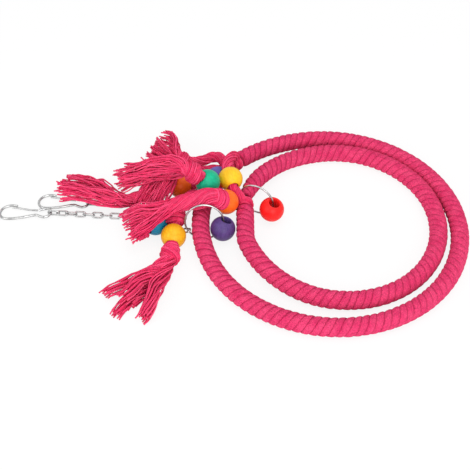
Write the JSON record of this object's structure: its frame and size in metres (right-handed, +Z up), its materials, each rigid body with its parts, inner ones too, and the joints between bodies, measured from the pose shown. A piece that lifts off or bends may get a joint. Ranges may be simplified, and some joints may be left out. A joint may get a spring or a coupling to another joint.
{
  "type": "bird rope ring",
  "caption": "Two nested wound-rope perch rings tied together, with knotted frayed cord tails, wooden beads on cords and wire loops, and chains ending in wire snap hooks.",
  "frame": {"origin": "middle of the toy's box, on the floor it lies on", "axes": "+Z up from the floor, -X from the rings towards the chains and hooks, +Y away from the viewer of the picture"},
  "size_m": [0.4738, 0.2754, 0.0578],
  "materials": {
    "cotton": "wound and spun cotton, dyed bright pink",
    "core_steel": "plain drawn wire",
    "orange_wood": "dyed and waxed, satin",
    "yellow_wood": "dyed and waxed, satin",
    "teal_wood": "dyed and waxed, satin",
    "blue_wood": "dyed and waxed, satin",
    "violet_wood": "dyed and waxed, satin",
    "bright_wire": "bright nickel plate",
    "red_wood": "dyed and waxed, satin",
    "purple_wood": "dyed and waxed, satin"
  },
  "bodies": {
    "outer_ring": {"outer_ring_rope": "cotton", "outer_ring_core_wire": "core_steel", "ring_tie_cord": "cotton", "lower_tail_cord": "cotton", "top_tail_cord": "cotton", "back_tail_cord": "cotton"},
    "inner_ring": {"inner_ring_rope": "cotton", "inner_ring_core_wire": "core_steel"},
    "orange_bead_near": {"orange_bead_near": "orange_wood"},
    "yellow_bead_tie": {"yellow_bead_tie": "yellow_wood"},
    "teal_bead": {"teal_bead": "teal_wood"},
    "orange_bead_far": {"orange_bead_far": "orange_wood"},
    "yellow_bead_low": {"yellow_bead_low": "yellow_wood"},
    "blue_bead": {"blue_bead": "blue_wood"},
    "violet_bead": {"violet_bead": "violet_wood"},
    "inner_bead_loop": {"inner_bead_loop": "bright_wire"},
    "red_bead": {"red_bead": "red_wood"},
    "outer_bead_loop": {"outer_bead_loop": "bright_wire"},
    "purple_bead": {"purple_bead": "purple_wood"},
    "chain_jump_ring": {"chain_jump_ring": "bright_wire"},
    "first_chain_link_01": {"first_chain_link_01": "bright_wire"},
    "first_chain_link_02": {"first_chain_link_02": "bright_wire"},
    "first_chain_link_03": {"first_chain_link_03": "bright_wire"},
    "first_chain_link_04": {"first_chain_link_04": "bright_wire"},
    "first_chain_link_05": {"first_chain_link_05": "bright_wire"},
    "first_chain_link_06": {"first_chain_link_06": "bright_wire"},
    "first_chain_link_07": {"first_chain_link_07": "bright_wire"},
    "first_chain_link_08": {"first_chain_link_08": "bright_wire"},
    "first_chain_link_09": {"first_chain_link_09": "bright_wire"},
    "first_chain_link_10": {"first_chain_link_10": "bright_wire"},
    "first_chain_link_11": {"first_chain_link_11": "bright_wire"},
    "first_chain_link_12": {"first_chain_link_12": "bright_wire"},
    "first_chain_link_13": {"first_chain_link_13": "bright_wire"},
    "first_chain_link_14": {"first_chain_link_14": "bright_wire"},
    "first_chain_link_15": {"first_chain_link_15": "bright_wire"},
    "first_chain_link_16": {"first_chain_link_16": "bright_wire"},
    "first_chain_link_17": {"first_chain_link_17": "bright_wire"},
    "second_chain_link_01": {"second_chain_link_01": "bright_wire"},
    "second_chain_link_02": {"second_chain_link_02": "bright_wire"},
    "second_chain_link_03": {"second_chain_link_03": "bright_wire"},
    "second_chain_link_04": {"second_chain_link_04": "bright_wire"},
    "second_chain_link_05": {"second_chain_link_05": "bright_wire"},
    "second_chain_link_06": {"second_chain_link_06": "bright_wire"},
    "second_chain_link_07": {"second_chain_link_07": "bright_wire"},
    "second_chain_link_08": {"second_chain_link_08": "bright_wire"},
    "second_chain_link_09": {"second_chain_link_09": "bright_wire"},
    "second_chain_link_10": {"second_chain_link_10": "bright_wire"},
    "second_chain_link_11": {"second_chain_link_11": "bright_wire"},
    "second_chain_link_12": {"second_chain_link_12": "bright_wire"},
    "second_chain_link_13": {"second_chain_link_13": "bright_wire"},
    "first_hook": {"first_hook": "bright_wire"},
    "first_hook_gate": {"first_hook_gate": "bright_wire"},
    "second_hook": {"second_hook": "bright_wire"},
    "second_hook_gate": {"second_hook_gate": "bright_wire"}
  },
  "joints": [
    {"name": "inner_ring_swing", "type": "hinge", "parent": "outer_ring", "child": "inner_ring", "pos_m": [0.01474, 0.02374, 0.01348], "axis": [0, 1, 0], "range_deg": [-45, 45]},
    {"name": "inner_loop_swing", "type": "hinge", "parent": "outer_ring", "child": "inner_bead_loop", "pos_m": [0.01474, 0.03121, 0.01348], "axis": [0, 1, 0], "range_deg": [0, 10]},
    {"name": "red_bead_spin", "type": "hinge", "parent": "inner_bead_loop", "child": "red_bead", "pos_m": [0.04161, 0.0161, 0.01445], "axis": [0.2329, -0.1128, 0.9659], "continuous": true},
    {"name": "outer_loop_swing", "type": "hinge", "parent": "outer_ring", "child": "outer_bead_loop", "pos_m": [-0.02956, -0.00641, 0.01258], "axis": [0, 1, 0], "range_deg": [-12, 0]},
    {"name": "purple_bead_spin", "type": "hinge", "parent": "outer_bead_loop", "child": "purple_bead", "pos_m": [-0.00749, -0.01, 0.01375], "axis": [0.342, 0.235, 0.9098], "continuous": true},
    {"name": "orange_bead_near_spin", "type": "hinge", "parent": "outer_ring", "child": "orange_bead_near", "pos_m": [-0.00426, 0.0167, 0.0245], "axis": [-0.3495, -0.5493, 0.759], "continuous": true},
    {"name": "yellow_bead_tie_spin", "type": "hinge", "parent": "outer_ring", "child": "yellow_bead_tie", "pos_m": [-0.00006, 0.04689, 0.0274], "axis": [-0.2613, 0.9549, 0.1407], "continuous": true},
    {"name": "teal_bead_spin", "type": "hinge", "parent": "outer_ring", "child": "teal_bead", "pos_m": [-0.02296, 0.03549, 0.0346], "axis": [-0.598, -0.1495, 0.7874], "continuous": true},
    {"name": "orange_bead_far_spin", "type": "hinge", "parent": "outer_ring", "child": "orange_bead_far", "pos_m": [-0.05176, 0.0516, 0.0127], "axis": [-0.9949, -0.1005, 0], "continuous": true},
    {"name": "yellow_bead_low_spin", "type": "hinge", "parent": "outer_ring", "child": "yellow_bead_low", "pos_m": [-0.05606, -0.01901, 0.0127], "axis": [-0.1201, -0.9909, -0.0601], "continuous": true},
    {"name": "blue_bead_spin", "type": "hinge", "parent": "outer_ring", "child": "blue_bead", "pos_m": [-0.07476, -0.00101, 0.0127], "axis": [-0.722, -0.6919, 0], "continuous": true},
    {"name": "violet_bead_spin", "type": "hinge", "parent": "outer_ring", "child": "violet_bead", "pos_m": [-0.01317, 0.06328, 0.01287], "axis": [-0.4903, -0.8708, 0.0359], "continuous": true},
    {"name": "jump_ring_swing", "type": "hinge", "parent": "outer_ring", "child": "chain_jump_ring", "pos_m": [-0.02368, 0.03914, 0.01346], "axis": [-0.3034, -0.9529, 0], "range_deg": [0, 20]},
    {"name": "first_chain_link_01_swing", "type": "hinge", "parent": "outer_bead_loop", "child": "first_chain_link_01", "pos_m": [-0.04139, -0.00948, 0.01043], "axis": [-0.6245, -0.781, 0], "range_deg": [0, 10]},
    {"name": "first_chain_link_02_swing", "type": "hinge", "parent": "first_chain_link_01", "child": "first_chain_link_02", "pos_m": [-0.04745, -0.00465, 0.00635], "axis": [-0.6208, -0.784, 0], "range_deg": [0, 12]},
    {"name": "first_chain_link_03_swing", "type": "hinge", "parent": "first_chain_link_02", "child": "first_chain_link_03", "pos_m": [-0.05419, 0.0006, 0.00396], "axis": [-0.597, -0.8023, 0], "range_deg": [0, 12]},
    {"name": "first_chain_link_04_swing", "type": "hinge", "parent": "first_chain_link_03", "child": "first_chain_link_04", "pos_m": [-0.0614, 0.00591, 0.00327], "axis": [-0.5244, -0.8515, 0], "range_deg": [0, 12]},
    {"name": "first_chain_link_05_swing", "type": "hinge", "parent": "first_chain_link_04", "child": "first_chain_link_05", "pos_m": [-0.06908, 0.01054, 0.00305], "axis": [-0.382, -0.9242, 0], "range_deg": [0, 12]},
    {"name": "first_chain_link_06_swing", "type": "hinge", "parent": "first_chain_link_05", "child": "first_chain_link_06", "pos_m": [-0.0774, 0.01386, 0.00293], "axis": [-0.1855, -0.9826, 0], "range_deg": [0, 12]},
    {"name": "first_chain_link_07_swing", "type": "hinge", "parent": "first_chain_link_06", "child": "first_chain_link_07", "pos_m": [-0.08616, 0.01572, 0.00289], "axis": [-0.0875, -0.9962, 0], "range_deg": [0, 12]},
    {"name": "first_chain_link_08_swing", "type": "hinge", "parent": "first_chain_link_07", "child": "first_chain_link_08", "pos_m": [-0.09511, 0.01665, 0.0029], "axis": [-0.0667, -0.9978, 0], "range_deg": [0, 12]},
    {"name": "first_chain_link_09_swing", "type": "hinge", "parent": "first_chain_link_08", "child": "first_chain_link_09", "pos_m": [-0.10409, 0.01723, 0.0029], "axis": [-0.0372, -0.9993, 0], "range_deg": [0, 12]},
    {"name": "first_chain_link_10_swing", "type": "hinge", "parent": "first_chain_link_09", "child": "first_chain_link_10", "pos_m": [-0.11308, 0.01764, 0.0029], "axis": [-0.0589, -0.9983, 0], "range_deg": [0, 12]},
    {"name": "first_chain_link_11_swing", "type": "hinge", "parent": "first_chain_link_10", "child": "first_chain_link_11", "pos_m": [-0.12206, 0.01813, 0.00289], "axis": [-0.0676, -0.9977, 0], "range_deg": [0, 12]},
    {"name": "first_chain_link_12_swing", "type": "hinge", "parent": "first_chain_link_11", "child": "first_chain_link_12", "pos_m": [-0.13104, 0.01872, 0.00288], "axis": [-0.0625, -0.998, 0], "range_deg": [0, 12]},
    {"name": "first_chain_link_13_swing", "type": "hinge", "parent": "first_chain_link_12", "child": "first_chain_link_13", "pos_m": [-0.14003, 0.01928, 0.00298], "axis": [-0.0544, -0.9985, 0], "range_deg": [0, 12]},
    {"name": "first_chain_link_14_swing", "type": "hinge", "parent": "first_chain_link_13", "child": "first_chain_link_14", "pos_m": [-0.14901, 0.01979, 0.00319], "axis": [-0.0592, -0.9982, 0], "range_deg": [0, 12]},
    {"name": "first_chain_link_15_swing", "type": "hinge", "parent": "first_chain_link_14", "child": "first_chain_link_15", "pos_m": [-0.15799, 0.02031, 0.00342], "axis": [-0.0622, -0.9981, 0], "range_deg": [0, 12]},
    {"name": "first_chain_link_16_swing", "type": "hinge", "parent": "first_chain_link_15", "child": "first_chain_link_16", "pos_m": [-0.16697, 0.02086, 0.00359], "axis": [-0.0586, -0.9983, 0], "range_deg": [0, 12]},
    {"name": "first_chain_link_17_swing", "type": "hinge", "parent": "first_chain_link_16", "child": "first_chain_link_17", "pos_m": [-0.17596, 0.02139, 0.00367], "axis": [-0.0564, -0.9984, 0], "range_deg": [0, 12]},
    {"name": "first_hook_swing", "type": "hinge", "parent": "first_chain_link_17", "child": "first_hook", "pos_m": [-0.18362, 0.02183, 0.00368], "axis": [-0.0564, -0.9984, 0], "range_deg": [0, 20]},
    {"name": "first_hook_gate_flex", "type": "hinge", "parent": "first_hook", "child": "first_hook_gate", "pos_m": [-0.19676, 0.02578, 0.0032], "axis": [-0.0453, 0.0026, 0.999], "range_deg": [0, 18], "stiffness_Nm_per_rad": 0.02},
    {"name": "second_chain_link_01_swing", "type": "hinge", "parent": "chain_jump_ring", "child": "second_chain_link_01", "pos_m": [-0.03487, 0.04345, 0.01392], "axis": [0.5162, -0.8565, 0], "range_deg": [0, 10]},
    {"name": "second_chain_link_02_swing", "type": "hinge", "parent": "second_chain_link_01", "child": "second_chain_link_02", "pos_m": [-0.04179, 0.03958, 0.01011], "axis": [0.3697, -0.9292, 0], "range_deg": [0, 12]},
    {"name": "second_chain_link_03_swing", "type": "hinge", "parent": "second_chain_link_02", "child": "second_chain_link_03", "pos_m": [-0.04937, 0.03648, 0.00651], "axis": [0.2285, -0.9735, 0], "range_deg": [0, 12]},
    {"name": "second_chain_link_04_swing", "type": "hinge", "parent": "second_chain_link_03", "child": "second_chain_link_04", "pos_m": [-0.05772, 0.03452, 0.00409], "axis": [0.1147, -0.9934, 0], "range_deg": [0, 12]},
    {"name": "second_chain_link_05_swing", "type": "hinge", "parent": "second_chain_link_04", "child": "second_chain_link_05", "pos_m": [-0.06656, 0.03342, 0.00312], "axis": [0.0512, -0.9987, 0], "range_deg": [0, 12]},
    {"name": "second_chain_link_06_swing", "type": "hinge", "parent": "second_chain_link_05", "child": "second_chain_link_06", "pos_m": [-0.07554, 0.0329, 0.00289], "axis": [0.0263, -0.9997, 0], "range_deg": [0, 12]},
    {"name": "second_chain_link_07_swing", "type": "hinge", "parent": "second_chain_link_06", "child": "second_chain_link_07", "pos_m": [-0.08453, 0.03265, 0.00288], "axis": [0.0088, -1, 0], "range_deg": [0, 12]},
    {"name": "second_chain_link_08_swing", "type": "hinge", "parent": "second_chain_link_07", "child": "second_chain_link_08", "pos_m": [-0.09353, 0.03259, 0.00287], "axis": [-0.0188, -0.9998, 0], "range_deg": [0, 12]},
    {"name": "second_chain_link_09_swing", "type": "hinge", "parent": "second_chain_link_08", "child": "second_chain_link_09", "pos_m": [-0.10253, 0.03275, 0.0029], "axis": [-0.0403, -0.9992, 0], "range_deg": [0, 12]},
    {"name": "second_chain_link_10_swing", "type": "hinge", "parent": "second_chain_link_09", "child": "second_chain_link_10", "pos_m": [-0.11152, 0.03311, 0.00303], "axis": [-0.0614, -0.9981, 0], "range_deg": [0, 12]},
    {"name": "second_chain_link_11_swing", "type": "hinge", "parent": "second_chain_link_10", "child": "second_chain_link_11", "pos_m": [-0.1205, 0.03365, 0.00324], "axis": [-0.0794, -0.9968, 0], "range_deg": [0, 12]},
    {"name": "second_chain_link_12_swing", "type": "hinge", "parent": "second_chain_link_11", "child": "second_chain_link_12", "pos_m": [-0.12947, 0.03436, 0.00346], "axis": [-0.0923, -0.9957, 0], "range_deg": [0, 12]},
    {"name": "second_chain_link_13_swing", "type": "hinge", "parent": "second_chain_link_12", "child": "second_chain_link_13", "pos_m": [-0.13843, 0.03515, 0.00363], "axis": [-0.0837, -0.9965, 0], "range_deg": [0, 12]},
    {"name": "second_hook_swing", "type": "hinge", "parent": "second_chain_link_13", "child": "second_hook", "pos_m": [-0.14608, 0.03581, 0.00369], "axis": [-0.0837, -0.9965, 0], "range_deg": [0, 20]},
    {"name": "second_hook_gate_flex", "type": "hinge", "parent": "second_hook", "child": "second_hook_gate", "pos_m": [-0.15911, 0.04012, 0.0032], "axis": [-0.0452, 0.0038, 0.999], "range_deg": [0, 18], "stiffness_Nm_per_rad": 0.02}
  ]
}
